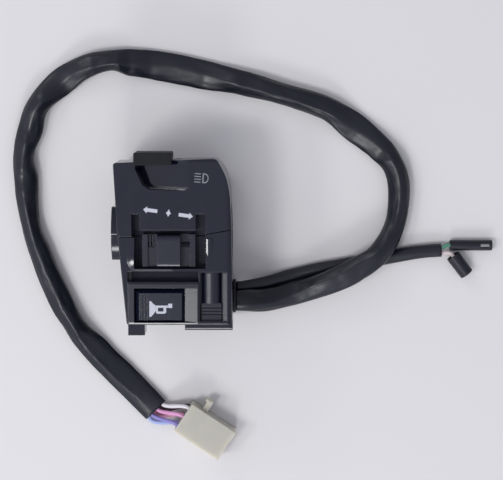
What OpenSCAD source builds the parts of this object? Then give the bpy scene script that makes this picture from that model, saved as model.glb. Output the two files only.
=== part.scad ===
// Left-hand handlebar switch cluster: dimmer, turn-signal and horn switches with their leads.
// Millimetres. The origin is on the handlebar axis. X runs along the handlebar to the middle of the
// motorbike, Y is up as mounted, and Z points to the rider.

/* [Handlebar] */
// Diameter of the handlebar tube
bar_d = 22.2; // [20:0.1:22.4]
// Radial clearance between the casing and the handlebar
bar_gap = 0.1; // [0.04:0.01:0.18]

/* [Casing] */
// Height of the control face over the handlebar axis
face_z = 23; // [22.8:0.1:26]
// Depth of the flat back behind the handlebar axis
back_z = 19.5; // [19:0.1:23]
// Wall thickness of the casing
wall = 2.2; // [1.8:0.1:2.4]
// Gap between the upper and the lower half
parting = 0.3; // [0.1:0.05:0.5]
// Reach of the right-hand side from the origin
right_x = 21.9; // [21.6:0.1:24]
// Height of the top edge at its right end
top_y = 28.6; // [28:0.1:31]
// Depth of the bottom edge under the handlebar axis
bottom_y = 32.4; // [32:0.1:35]
// Outside radius of the collars that hold the handlebar
collar_r = 13.4; // [12.6:0.1:14]

/* [Casing screws] */
// Diameter of the casing screws
screw_d = 4; // [3:0.1:4.2]
// Diameter of the screw heads
screw_head_d = 7; // [6:0.1:7.4]

/* [Dimmer] */
// Width of the thumb-piece
thumb_w = 13.8; // [10:0.2:15]
// Height that the thumb-piece stands over the top edge
thumb_h = 2.6; // [2.5:0.1:6]
// Travel of the dimmer to the right
dimmer_travel = 6; // [4:0.1:6.4]

/* [Turn signal] */
// Width of the recess around the knob
turn_w = 27; // [26:0.2:27.6]
// Depth of the recess under the control face
turn_depth = 5; // [4.2:0.1:5.2]
// Width of the turn-signal knob
knob_w = 19.4; // [16:0.2:19.8]
// Width of the raised block in the middle of the knob
knob_block_w = 8.5; // [6:0.1:10]
// Travel of the knob to each side
turn_travel = 2.4; // [2:0.1:3.4]

/* [Horn] */
// Width of the opening for the horn button
horn_w = 18.4; // [16:0.1:18.6]
// Height of the opening for the horn button
horn_h = 12.6; // [11.4:0.1:12.6]
// Travel of the horn button
horn_travel = 2.2; // [1.4:0.1:2.6]
// Wire diameter of the horn spring
horn_wire_d = 0.8; // [0.6:0.05:1]

/* [Leads] */
// Diameter of the main harness sleeve
sleeve_d = 7.6; // [6.4:0.1:7.6]
// Diameter of the branch sleeve
branch_d = 4.8; // [3.6:0.1:4.8]
// Diameter of each wire over its insulation
wire_d = 1.6; // [1.2:0.05:1.6]
// Length of the connector housing
plug_l = 20.6; // [16:0.2:24]
// Width of the connector housing
plug_w = 13; // [12.4:0.1:15]
// Height of the connector housing
plug_h = 9.4; // [8.6:0.1:11]

/* [Hidden] */
// Sub-parts that can be shown one at a time

$fn = 40;
eps = 0.01;
far = 60;

// Clearances that tie mating sizes together
run_gap = 0.25;
screw_fit = 0.05;
lift = 0.1;
tag_l = 3;

// Casing levels
bore_r = bar_d / 2 + bar_gap;
face_in = face_z - wall;
collar_end = -23.2;
collar_in = 17.5;
collar_lip = 9.9;
hole_r = screw_d / 2 + 0.2;
boss_r = screw_d / 2 + 2.2;
head_r = screw_head_d / 2;
head_t = 3;

// Corners of the casing seen from the rider, clockwise from the top left
plan = [[-21.4, top_y - 1.6], [right_x - 5.7, top_y], [right_x - 2.3, top_y - 6.4],
    [right_x - 0.9, top_y - 12.6], [right_x - 0.3, 4], [right_x, -bottom_y], [-16.8, -bottom_y], [-19.9, 0]];
plan_cuts = [1.2, 1.6, 2.2, 2.4, 3, 1.2, 1.2, 3];
// Level under which the top wall leans in, and how far it does
lean_from = 10;
top_lean = 5.4;
// Corners of the casing seen along the handlebar, clockwise from the lower front
side = [[-bottom_y, face_z], [top_y, face_z], [top_y, lean_from], [top_y - top_lean, -back_z],
    [-bottom_y, -back_z]];
side_cuts = [0.8, 1.6, 4, 7, 7];
// Corners of the casing seen from above, clockwise from the left front
end_view = [[-21.9, face_z], [right_x + 0.1, face_z], [right_x + 0.1, -back_z], [-21.9, -back_z]];
end_cuts = [0.8, 2.6, 6, 5];

// Casing screws: the front one on the right, the rear one on the left
front_screw = [14.3, max(bore_r + hole_r + 1.8, face_z - 7.8)];
rear_screw = [-12.2, -(bore_r + hole_r + 1.2)];
front_seat = -28.5;
rear_seat = -27;
screw_top = 14;

// Dimmer levels, from the scoop floor down
dim_x = -6.9;
dim_y = top_y - 10.6;
scoop_low = top_y - 11.7;
scoop_left = -13.4;
scoop_right = 6.2;
scoop_z = face_z - 5.5;
scoop_under = scoop_z - 2;
dim_top = scoop_under - run_gap;
dim_bottom = dim_top - 3.6;
dim_base_top = dim_bottom - 0.5 - lift - 0.5;
dim_base_t = 1.4;
dim_half = 4.5;
dim_pitch = 4.4;
dim_hold = 4;
detent_deep = 4.2;
detent_coil = 2.5;
stem_half = 3.5;
dim_low = dim_y - 4.4;
dim_high = dim_y + 5;
dim_post_l = dim_x - dim_half - run_gap - 1.9;
dim_post_r = dim_x + dim_half + dimmer_travel + 0.5 + 1.9;
thumb_low = top_y - 0.35;
thumb_reach = 2;
thumb_t = 1.8;

// Turn-signal levels, from the recess floor down
turn_x = -1.3;
turn_y = -9;
turn_low = -11.6;
turn_floor = face_z - turn_depth;
turn_under = turn_floor - 1.8;
turn_top = turn_under - run_gap;
carrier_t = 2.7;
turn_bottom = turn_top - carrier_t;
turn_base_top = turn_bottom - 0.5 - lift - 0.5;
turn_base_t = 1.4;
carrier_half = 4.6;
carrier_reach = 4;
turn_pitch = 4.8;
turn_hold = 3.2;
turn_post = 10.6;
valley_high = turn_low - 1;
valley_low = -16.4;
recess_left = turn_x - turn_w / 2 + 1;
recess_right = turn_x + turn_w / 2;
dome_r = 14;
crown_r = 4;
split_x = turn_x + turn_w / 2;
split_low = 0.8;
split_rise = 2.6;
split_z = face_z - wall - 1;

// Horn levels
horn_x = -4.75;
horn_y = -25;
frame_z = face_z + 0.8;
horn_top = face_z + 0.4;
horn_base_top = 9.6;
horn_base_t = 1.4;
horn_strip = horn_base_top + 0.5 + horn_travel + lift;
horn_skirt = horn_strip + 0.6;
horn_stop = horn_skirt + 1.3;
horn_post_x = 7.2;
horn_posts = [horn_y - 2.6, horn_y + 4.6];
horn_post_r = 2;
horn_hold = 4.4;
horn_shoulder = horn_h / 2 + 0.5;
frame_left = -16.2;
foot_left = frame_left - 0.7;
frame_right = 9.5;
slope_right = 9.1;
slope_drop = 1.4;
horn_skin = 1.5;
horn_pad = 3;
horn_low = horn_y - horn_h / 2 + run_gap + horn_skin;
horn_high = horn_y + horn_h / 2 - run_gap - horn_pad;
coil_r = (horn_high - horn_low - horn_wire_d) / 2 - run_gap;

// Panel with the screw column, right of the horn
panel_left = 10;
panel_right = 18.4;
panel_high = -13;
panel_low = -31;
column_low = -24.6;
panel_deep = 2.4;
cover_z = max(front_screw[1] + head_r + 1.4, face_z - 1.7);
panel_back = -11.4;
horn_roof = horn_top - 2;

// Cable exit and cords
exit_x = right_x + 0.9;
main_exit = [-27.9, -8.5];
branch_exit = [-23.4, -13.8];
bench = -back_z;
run_z = bench + sleeve_d / 2 + 0.05;
low_z = bench + branch_d / 2 + 0.05;

// Main harness route from the grommet to the connector wires
sleeve_path = [[exit_x, main_exit[0], main_exit[1]], [exit_x + 4, main_exit[0], main_exit[1]],
    [34, -28.1, -10.9], [43, -27, -13.4],
    [51, -24.6, -13], [58, -21.8, -11.4], [65, -18.6, -10.2], [71, -15, -10], [76, -11.4, -10.8],
    [80, -7, -12.6], [83, -1.6, -14.6], [85, 4, run_z], [86, 11, run_z], [85.6, 18, run_z],
    [83.6, 24, run_z], [78.6, 31, run_z], [69, 38.6, run_z], [57, 46, run_z], [40, 51.6, run_z],
    [24, 55.8, run_z], [9, 59, run_z], [-7, 62.2, run_z], [-17, 63.4, run_z], [-26, 63.4, run_z],
    [-35, 61.4, run_z], [-45, 55, run_z], [-53, 46.4, run_z], [-57, 37, run_z], [-59, 27, run_z],
    [-59, 18, run_z], [-58, 8.4, run_z], [-56.2, -1, run_z], [-54, -10, run_z], [-50.4, -20, run_z],
    [-45.6, -30.6, run_z], [-41, -38, run_z], [-37, -44, run_z], [-31, -51, run_z], [-24.6, -57.6, run_z],
    [-17.5, -64.9, run_z], [-9.4, -73.2, run_z]];
// Branch route from the grommet to its two wires
branch_path = [[exit_x, branch_exit[0], branch_exit[1]], [exit_x + 3, branch_exit[0], branch_exit[1]],
    [35, -21.8, -15.4],
    [45, -19.2, low_z], [56, -16.6, low_z], [67, -14.6, low_z], [78, -12.8, low_z], [88, -10.9, low_z],
    [96, -9.7, low_z], [103, -9.2, low_z]];

// Connector place on the bench
plug_at = [2.1, -74.5];
plug_turn = -34;
plug_rows = [-2.1, 2.1];
plug_cols = [-4, 0, 4];
wire_pitch = 2.3;
plug_hole = wire_d + 0.8;
terminal_from = 3;
latch_at = 4.6;
latch_w = 2.2;
latch_l = 4.6;
// Branch terminals on the bench
bullet_at = [106.4, -7.3];
bullet_l = 16.4;
receptacle_at = [107.5, -11.3];
receptacle_turn = -52;
receptacle_l = 9.2;
receptacle_z = bench + 2.85;

// Plane outlines
function unit(v) = v / norm(v);
function edge_normal(p, i) =
    let (d = unit(p[(i + 1) % len(p)] - p[i])) [d[1], -d[0]];
function inset(p, d) = [for (i = [0:len(p) - 1])
    let (a = edge_normal(p, (i + len(p) - 1) % len(p)), b = edge_normal(p, i))
        p[i] + d * (a + b) / (1 + a * b)];
function bend(a, b, c, t) = (1 - t) * (1 - t) * a + 2 * t * (1 - t) * b + t * t * c;
function rounded(p, cuts, steps = 5) = [for (i = [0:len(p) - 1])
    let (n = len(p), q = p[i], c = cuts[i],
        u = q + c * unit(p[(i + n - 1) % n] - q), v = q + c * unit(p[(i + 1) % n] - q))
        for (k = [0:steps]) bend(u, q, v, k / steps)];

// Swept tubes
function direction(p, i) = unit(p[min(i + 1, len(p) - 1)] - p[max(i - 1, 0)]);
function ring(p, i, r, sides, ref) =
    let (t = direction(p, i), s = unit(cross(ref, t)), u = cross(t, s))
        [for (k = [0:sides - 1]) p[i] + r * (cos(360 * k / sides) * s + sin(360 * k / sides) * u)];
function curve(a, b, c, d, steps) = [for (k = [0:steps])
    let (t = k / steps, w = 1 - t)
        w * w * w * a + 3 * w * w * t * b + 3 * w * t * t * c + t * t * t * d];

module tube(path, d, sides, ref = [0, 0, 1]) {
    rings = len(path);
    points = [for (i = [0:rings - 1]) each ring(path, i, d / 2, sides, ref)];
    walls = [for (i = [0:rings - 2], k = [0:sides - 1])
        let (a = i * sides + k, b = i * sides + (k + 1) % sides)
            each [[a, a + sides, b + sides], [a, b + sides, b]]];
    near_cap = [for (k = [0:sides - 1]) k];
    far_cap = [for (k = [sides - 1:-1:0]) (rings - 1) * sides + k];
    polyhedron(points = points, faces = concat(walls, [near_cap], [far_cap]), convexity = 10);
}

// Coil springs: a straight coil along Z
function coil(r, z0, z1, turns) = [for (k = [0:turns * 8])
    [r * cos(45 * k), r * sin(45 * k), z0 + (z1 - z0) * k / (turns * 8)]];
function coil_gap(p, d) = min([for (i = [0:len(p) - 9]) norm(p[i + 8] - p[i])]) - d;

module cyl_x(r, x0, x1, y, z) {
    translate([x0, y, z]) rotate([0, 90, 0]) cylinder(r = r, h = x1 - x0);
}

module cyl_y(r, x, y0, y1, z) {
    translate([x, y0, z]) rotate([-90, 0, 0]) cylinder(r = r, h = y1 - y0);
}

module cyl_z(r, x, y, z0, z1) {
    translate([x, y, z0]) cylinder(r = r, h = z1 - z0);
}

module box(x0, x1, y0, y1, z0, z1) {
    translate([x0, y0, z0]) cube([x1 - x0, y1 - y0, z1 - z0]);
}

// Casing body, inset by d for its hollow
module casing_block(d) {
    intersection() {
        translate([0, 0, -back_z + d])
            linear_extrude(face_z + back_z - 2 * d) polygon(rounded(inset(plan, d), plan_cuts));
        rotate([90, 0, 90]) translate([0, 0, -far])
            linear_extrude(2 * far) polygon(rounded(inset(side, d), side_cuts));
        rotate([90, 0, 0]) translate([0, 0, -far])
            linear_extrude(2 * far) polygon(rounded(inset(end_view, d), end_cuts));
    }
}

// Tongue of the lower half that rises into the upper one at the right of the face
module split_tongue(gap) {
    slope = (split_rise - split_low) / (right_x - split_x);
    translate([0, 0, split_z - gap]) linear_extrude(far)
        polygon([[split_x, -1], [split_x + far, -1], [split_x + far, split_low + slope * far + gap],
            [split_x, split_low + gap]]);
}

module upper_half() {
    difference() {
        box(-far, far, parting / 2, far, -far, far);
        split_tongue(parting);
    }
}

module lower_half() {
    box(-far, far, -far, -parting / 2, -far, far);
    split_tongue(0);
}

module collars(r) {
    cyl_x(r, -far, -collar_in, 0, 0);
    cyl_x(r, collar_in, far, 0, 0);
}

// Lips of the left collar that stand out of the casing
module collar_lips() {
    intersection() {
        cyl_x(collar_r, collar_end, -collar_in, 0, 0);
        box(-far, far, -collar_lip, collar_lip, -far, far);
    }
}

module bore() {
    cyl_x(bore_r, -far, far, 0, 0);
}

// Self-tapping screw along -Z with its head under z
module small_screw(x, y, z, l) {
    color("silver") difference() {
        union() {
            cyl_z(1.8, x, y, z - 1.2, z);
            cyl_z(0.9, x, y, z - eps, z + l);
        }
        box(x - 1.3, x + 1.3, y - 0.25, y + 0.25, z - 2, z - 0.7);
    }
}

// Rivet contact with a solder tag, its head on a base whose top is z
module contact(x, y, z, t, tag_y) {
    color("goldenrod") {
        cyl_z(1.2, x, y, z, z + 0.5);
        cyl_z(0.8, x, y, z - t - 0.4, z + eps);
        cyl_z(1.2, x, y, z - t - 0.4, z - t);
        box(x - 0.8, x + 0.8, min(y, tag_y), max(y, tag_y), z - t - 0.4, z - t);
        box(x - 0.8, x + 0.8, tag_y - 0.3, tag_y + 0.3, z - t - tag_l, z - t);
    }
}

// Scoop under the thumb-piece, deep at the left and running out to the right
module scoop() {
    outline = [[scoop_left, top_y + 2], [scoop_left, top_y - 3.6], [scoop_left + 2.6, scoop_low + 2.3],
        [scoop_left + 5, scoop_low + 0.5], [scoop_right - 1.4, scoop_low], [scoop_right, scoop_low + 1.3],
        [scoop_right, top_y + 2]];
    difference() {
        intersection() {
            translate([0, 0, scoop_z - 1]) linear_extrude(far)
                polygon(outline);
            translate([scoop_left, 0, scoop_z]) rotate([0, -16, 0]) cube(far);
        }
        // Sloped foot of the lower wall
        translate([scoop_left, 0, scoop_z]) rotate([0, -16, 0]) rotate([90, 0, 90]) linear_extrude(far)
            polygon([[scoop_low - 1, -1], [scoop_low - 1, 0.95], [scoop_low + 0.9, 0],
                [scoop_low + 0.9, -1]]);
    }
}

module upper_casing() {
    color("#1b1d24") difference() {
        intersection() {
            upper_half();
            union() {
                casing_block(0);
                collar_lips();
            }
        }
        // Hollow, less what stands in it
        difference() {
            casing_block(wall);
            collars(collar_r);
            cyl_y(boss_r, front_screw[0], -far, 18, front_screw[1]);
            cyl_y(boss_r, rear_screw[0], -far, 18, rear_screw[1]);
            box(-far, scoop_right + 2.8, scoop_low - 1.9, far, scoop_under, far);
            box(turn_x - turn_w / 2 - 1.8, turn_x + turn_w / 2 + 1.8, -far, 10.4, turn_under, far);
            cyl_z(1.9, dim_post_l, dim_y, dim_base_top, far);
            cyl_z(1.9, dim_post_r, dim_y, dim_base_top, far);
        }
        bore();
        cyl_y(screw_d / 2 + screw_fit, front_screw[0], -1, screw_top + 1.5, front_screw[1]);
        cyl_y(screw_d / 2 + screw_fit, rear_screw[0], -1, screw_top + 1.5, rear_screw[1]);
        scoop();
        // Slot that the neck of the thumb-piece runs in
        box(dim_x - stem_half - 0.5, dim_x + stem_half + dimmer_travel + 0.5, dim_high + 0.6, far,
            dim_bottom - 0.4, scoop_under);
        // Recess over the turn-signal knob and the grooves beside its panel
        box(turn_x - turn_w / 2, turn_x + turn_w / 2, -1, 2.3, turn_floor, far);
        box(turn_x - turn_w / 2, turn_x - turn_w / 2 + 2.9, -1, 8.4, turn_floor + 1.4, far);
        box(turn_x + turn_w / 2 - 3.6, turn_x + turn_w / 2, -1, 8.4, turn_floor + 1.4, far);
        cyl_z(0.9 + screw_fit, dim_post_l, dim_y, 0, dim_base_top + dim_hold + 0.4);
        cyl_z(0.9 + screw_fit, dim_post_r, dim_y, 0, dim_base_top + dim_hold + 0.4);
    }
}

module lower_casing() {
    hood_low = -bottom_y - 4;
    color("#1b1d24") difference() {
        union() {
            intersection() {
                lower_half();
                union() {
                    casing_block(0);
                    collar_lips();
                }
            }
            // Frame around the horn button
            rotate([90, 0, 90]) translate([0, 0, frame_left]) linear_extrude(frame_right - frame_left)
                polygon([[-bottom_y + 0.3, face_z - 1], [-bottom_y + 0.3, frame_z - 0.4],
                    [-bottom_y + 1.2, frame_z], [valley_low - 0.8, frame_z], [valley_low, frame_z - 0.4],
                    [valley_low, face_z - 1]]);
            // Crowned pillars beside the turn-signal recess and the sloped strip under it
            intersection() {
                box(recess_left - 2.6, recess_left - 0.1, turn_low - 0.6, -parting / 2 - 0.3,
                    face_z - 1, far);
                translate([recess_left + 1.2, turn_low + 3.2, face_z + 0.55 - dome_r]) sphere(r = dome_r);
            }
            intersection() {
                box(recess_right + 0.1, recess_right + 2.6, turn_low - 0.6, -parting / 2 - 0.3,
                    face_z - 1, far);
                translate([recess_right + 1.3, 2, face_z + 0.67 - crown_r]) rotate([94, 0, 0])
                    cylinder(r = crown_r, h = 18);
            }
            rotate([90, 0, 90]) translate([0, 0, recess_left - 0.1])
                linear_extrude(recess_right - recess_left)
                polygon([[valley_high + 0.05, face_z - 1], [valley_high + 0.05, face_z],
                    [turn_low - 0.05, face_z + 0.37], [turn_low - 0.05, face_z - 1]]);
            // Hood over the cable exit
            rotate([90, 0, 90]) translate([0, 0, 4]) linear_extrude(right_x - 4.05)
                polygon(rounded([[hood_low, 11], [-bottom_y + 4, 11], [-bottom_y + 4, -back_z + 5],
                    [hood_low, -back_z + 5]], [1.5, 0.2, 0.2, 5]));
            // Foot at the lower left corner
            box(foot_left, foot_left + 6.2, -bottom_y - 5, -bottom_y + 1, 6, 16);
        }
        // Hollow, less what stands in it
        difference() {
            casing_block(wall);
            collars(collar_r);
            cyl_y(boss_r, front_screw[0], -far, far, front_screw[1]);
            cyl_y(boss_r, rear_screw[0], -far, far, rear_screw[1]);
            // Floor and rim of the turn-signal recess and the valley under it
            box(-far, turn_x + turn_w / 2 + 1.8, valley_low - 1, far, turn_under, far);
            cyl_z(1.9, turn_x - turn_post, turn_y, turn_base_top, far);
            cyl_z(1.9, turn_x + turn_post, turn_y, turn_base_top, far);
            // Well around the horn button
            box(-far, horn_x + horn_w / 2 + 1.5, -far, horn_y + horn_h / 2 + 1.5, horn_stop, far);
            for (y = horn_posts) cyl_z(horn_post_r, horn_post_x, y, horn_base_top, far);
            // Panel beside the screw column
            box(panel_left - 1, far, -far, panel_back, front_screw[1] - 1, far);
        }
        // Hollow of the hood
        box(6, right_x - wall, hood_low + 2, -bottom_y + wall + 1, -back_z + 7, 9);
        bore();
        cyl_y(hole_r, front_screw[0], -far, 1, front_screw[1]);
        cyl_y(hole_r, rear_screw[0], -far, 1, rear_screw[1]);
        cyl_y(head_r + 0.4, front_screw[0], -far, front_seat, front_screw[1]);
        cyl_y(head_r + 0.4, rear_screw[0], -far, rear_seat, rear_screw[1]);
        // Turn-signal recess, the slot for the knob's stem and the valley
        box(recess_left, recess_right, turn_low, 1, turn_floor, far);
        box(turn_x - 2.5 - turn_travel - 0.3, turn_x + 2.5 + turn_travel + 0.3,
            turn_y - 2 - run_gap, turn_y + 2 + run_gap, turn_under - 1, far);
        box(frame_left - 0.2, frame_right + 0.1, valley_low, valley_high, turn_floor + 1, far);
        cyl_z(0.9 + screw_fit, turn_x - turn_post, turn_y, 0, turn_base_top + turn_hold + 0.4);
        cyl_z(0.9 + screw_fit, turn_x + turn_post, turn_y, 0, turn_base_top + turn_hold + 0.4);
        // Horn opening with its wide sloped side
        box(horn_x - horn_w / 2, horn_x + horn_w / 2, horn_y - horn_h / 2, horn_y + horn_h / 2,
            horn_base_top, far);
        translate([0, horn_y + horn_h / 2, 0]) rotate([90, 0, 0]) linear_extrude(horn_h)
            polygon([[horn_x + horn_w / 2 - 1, frame_z - slope_drop],
                [horn_x + horn_w / 2, frame_z - slope_drop],
                [slope_right, frame_z + eps], [slope_right, far], [horn_x + horn_w / 2 - 1, far]]);
        for (y = horn_posts) cyl_z(0.9 + screw_fit, horn_post_x, y, 0, horn_base_top + horn_hold + 0.6);
        // Panel with the half-round screw column standing in it
        difference() {
            box(panel_left, panel_right, panel_low, panel_high, face_z - panel_deep, far);
            cyl_y(boss_r, front_screw[0], column_low, 0, face_z - boss_r - 0.3);
            box(panel_left + 0.4, panel_right - 0.4, panel_low - 1, column_low, 0, cover_z);
        }
        // Slope along the right side of the panel
        translate([0, panel_high, 0]) rotate([90, 0, 0]) linear_extrude(panel_high - panel_low)
            polygon([[panel_right - 1, face_z - 0.5], [panel_right, face_z - 0.5],
                [panel_right + 1.8, face_z + eps], [panel_right + 1.8, far], [panel_right - 1, far]]);
        for (i = [0:2]) box(panel_left + 0.4, panel_right - 0.4, column_low - 1.8 - 1.2 * i,
            column_low - 1.4 - 1.2 * i, cover_z - 0.4, far);
        // Cable exit, with room inside for the grommet's flanges
        cyl_x(sleeve_d / 2 + 1.7, right_x - wall - 1.2, right_x - wall + 0.05, main_exit[0], main_exit[1]);
        cyl_x(branch_d / 2 + 1.4, right_x - wall - 1.2, right_x - wall + 0.05,
            branch_exit[0], branch_exit[1]);
        cyl_x(sleeve_d / 2 + 0.8, right_x - wall - 1, right_x + 1, main_exit[0], main_exit[1]);
        cyl_x(branch_d / 2 + 0.7, right_x - wall - 1, right_x + 1, branch_exit[0], branch_exit[1]);
    }
}

module casing_screw(at, seat) {
    difference() {
        union() {
            cyl_y(head_r, at[0], seat - head_t, seat, at[1]);
            cyl_y(screw_d / 2, at[0], seat - eps, screw_top, at[1]);
        }
        box(at[0] - head_r * 0.6, at[0] + head_r * 0.6, seat - head_t - 1, seat - head_t + 1.4,
            at[1] - 0.5, at[1] + 0.5);
        box(at[0] - 0.5, at[0] + 0.5, seat - head_t - 1, seat - head_t + 1.4,
            at[1] - head_r * 0.6, at[1] + head_r * 0.6);
    }
}

module casing_screws() {
    color("silver") {
        casing_screw(front_screw, front_seat);
        casing_screw(rear_screw, rear_seat);
    }
}

module cable_grommet() {
    color("#222222") {
        cyl_x(sleeve_d / 2 + 0.7, right_x - wall - 0.9, exit_x, main_exit[0], main_exit[1]);
        cyl_x(branch_d / 2 + 0.6, right_x - wall - 0.9, exit_x, branch_exit[0], branch_exit[1]);
        // Wide flanges inside the wall and narrow ones outside it
        for (f = [[right_x - wall - 0.9, 0], [right_x + 0.05, 0.75]]) {
            cyl_x(sleeve_d / 2 + 1.5 - f[1], f[0], f[0] + 0.85, main_exit[0], main_exit[1]);
            cyl_x(branch_d / 2 + 1.2 - f[1] / 2, f[0], f[0] + 0.85, branch_exit[0], branch_exit[1]);
        }
    }
}

// Dimmer
module dimmer_lever() {
    color("#26292a") difference() {
        union() {
            box(dim_x - dim_half, dim_x + dim_half, dim_low, dim_high, dim_bottom, dim_top);
            box(dim_x - stem_half, dim_x + stem_half, dim_high - 1, thumb_low + 1,
                dim_bottom, dim_top - 0.2);
            translate([dim_x - thumb_w / 2, thumb_low, dim_bottom - 0.4])
                linear_extrude(face_z + run_gap + 0.5 - dim_bottom + 0.4)
                    polygon(rounded([[0, thumb_h], [thumb_w, thumb_h], [thumb_w, 0], [0, 0]],
                        [0.7, 0.7, 0.3, 0.3], 4));
            // Top of the thumb-piece, which reaches over the face
            translate([dim_x - thumb_w / 2, thumb_low - thumb_reach, face_z + run_gap])
                linear_extrude(thumb_t)
                    polygon(rounded([[0, thumb_h + thumb_reach], [thumb_w, thumb_h + thumb_reach],
                        [thumb_w, 0], [0, 0]], [0.7, 0.7, 0.5, 0.5], 4));
        }
        // Blind hole for the ball and its spring
        cyl_y(0.85, dim_x, -far, dim_low + detent_deep, (dim_top + dim_bottom) / 2);
    }
}

module dimmer_bridge() {
    color("goldenrod") box(dim_x - 3.6, dim_x + 3.6, dim_y - 1.5, dim_y + 1.5, dim_bottom - 0.5, dim_bottom);
}

module dimmer_detent_ball() {
    color("silver") translate([dim_x, dim_low + 0.8 - 0.2, (dim_top + dim_bottom) / 2]) sphere(r = 0.8);
}

module dimmer_detent_spring() {
    color("silver") translate([dim_x, dim_low + 1.5, (dim_top + dim_bottom) / 2]) rotate([-90, 0, 0])
        tube(coil(0.55, 0.15, detent_coil, 3), 0.25, 6);
}

module dimmer_base() {
    rail = dim_low - run_gap;
    color("#6b4a2b") difference() {
        union() {
            box(dim_post_l - 2.1, dim_post_r + 2.1, rail - eps, dim_high,
                dim_base_top - dim_base_t, dim_base_top);
            box(dim_x - dim_half - 0.5, dim_x + dim_half + dimmer_travel + 0.5, rail - 1.4, rail,
                dim_base_top - dim_base_t, dim_top - 0.4);
        }
        for (x = [dim_x, dim_x + dimmer_travel])
            cyl_z(0.6, x, rail + 0.1, dim_base_top, far);
        for (x = [dim_post_l, dim_post_r]) cyl_z(0.9 + 0.1, x, dim_y, 0, far);
        for (k = [0:2]) cyl_z(0.85, dim_x - 1 + dim_pitch * k, dim_y, 0, far);
    }
}

module dimmer_terminals() {
    for (k = [0:2]) contact(dim_x - 1 + dim_pitch * k, dim_y, dim_base_top, dim_base_t, dim_y - 1.6);
}

module dimmer_base_screws() {
    for (x = [dim_post_l, dim_post_r])
        small_screw(x, dim_y, dim_base_top - dim_base_t, dim_base_t + dim_hold);
}

// Turn signal
module turn_knob() {
    high = 0.9;
    low = turn_low + 0.4;
    color("#1f2126") {
        difference() {
            box(turn_x - knob_w / 2, turn_x + knob_w / 2, low, high, turn_floor + 0.3, turn_floor + 2.1);
            // Finger hollows beside the block
            for (x = [[-8.4, 3], [knob_block_w / 2 + 0.2, 3.2]])
                rotate([90, 0, 90]) translate([0, 0, turn_x + x[0]]) linear_extrude(x[1])
                    polygon([[high + 1, turn_floor + 0.9], [high - 3, turn_floor + 0.9],
                        [high - 6.4, turn_floor + 3], [high + 1, turn_floor + 3]]);
        }
        for (s = [-1, 1]) translate([turn_x + s * (knob_w / 2 - 1), 0, 0])
            box(-1, 1, low, high, turn_floor + 2, turn_floor + 3);
        intersection() {
            box(turn_x - knob_block_w / 2, turn_x + knob_block_w / 2, low, high, turn_floor + 2, far);
            rotate([90, 0, 90]) translate([0, 0, -far]) linear_extrude(2 * far)
                polygon(rounded([[low, face_z + 1.2], [high, face_z + 1.2], [high, turn_floor + 1],
                    [low, turn_floor + 1]], [2, 2, 0.1, 0.1]));
        }
        box(turn_x - 2.5, turn_x + 2.5, turn_y - 2, turn_y + 2, turn_bottom, turn_floor + 0.4);
        // Short ribs on the left wing
        for (k = [0:2]) box(turn_x - 8.2 + 1.1 * k, turn_x - 7.7 + 1.1 * k, high - 4.4, high - 0.4,
            turn_floor + 0.8, turn_floor + 2.4);
    }
}

module turn_carrier() {
    color("#d8d3c4") difference() {
        box(turn_x - carrier_half, turn_x + carrier_half, turn_y - carrier_reach, turn_y + carrier_reach,
            turn_bottom, turn_top);
        box(turn_x - 2.5 - screw_fit, turn_x + 2.5 + screw_fit,
            turn_y - 2 - screw_fit, turn_y + 2 + screw_fit,
            0, far);
        cyl_y(0.85, turn_x + 3.6, -far, turn_y + 0.6, (turn_top + turn_bottom) / 2);
    }
}

module turn_bridge() {
    color("goldenrod")
        box(turn_x - turn_pitch + 1.6, turn_x + turn_pitch - 1.6, turn_y - 1.5, turn_y + 1.5,
            turn_bottom - 0.5, turn_bottom);
}

module turn_detent_ball() {
    color("silver") translate([turn_x + 3.6, turn_y - carrier_reach + 0.6, (turn_top + turn_bottom) / 2])
        sphere(r = 0.8);
}

module turn_detent_spring() {
    color("silver") translate([turn_x + 3.6, turn_y - 2.5, (turn_top + turn_bottom) / 2]) rotate([-90, 0, 0])
        tube(coil(0.55, 0.15, 2.9, 3), 0.25, 6);
}

module turn_base() {
    rail = turn_y - carrier_reach - run_gap;
    color("#6b4a2b") difference() {
        union() {
            box(turn_x - turn_post - 2.1, turn_x + turn_post + 1.6, rail, turn_y + carrier_reach + 0.2,
                turn_base_top - turn_base_t, turn_base_top);
            box(turn_x - carrier_half - turn_travel + 0.4, turn_x + carrier_half + turn_travel,
                rail - 1.3, rail + eps,
                turn_base_top - turn_base_t, turn_top - 0.4);
        }
        for (s = [-1, 0, 1]) cyl_z(0.6, turn_x + 3.6 + s * turn_travel, rail + 0.1, turn_base_top, far);
        for (s = [-1, 1]) cyl_z(0.9 + 0.1, turn_x + s * turn_post, turn_y, 0, far);
        for (s = [-1, 0, 1]) cyl_z(0.85, turn_x + turn_pitch * s, turn_y, 0, far);
    }
}

module turn_terminals() {
    for (s = [-1, 0, 1]) contact(turn_x + turn_pitch * s, turn_y, turn_base_top, turn_base_t, turn_y - 2);
}

module turn_base_screws() {
    for (s = [-1, 1])
        small_screw(turn_x + s * turn_post, turn_y, turn_base_top - turn_base_t, turn_base_t + turn_hold);
}

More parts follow.
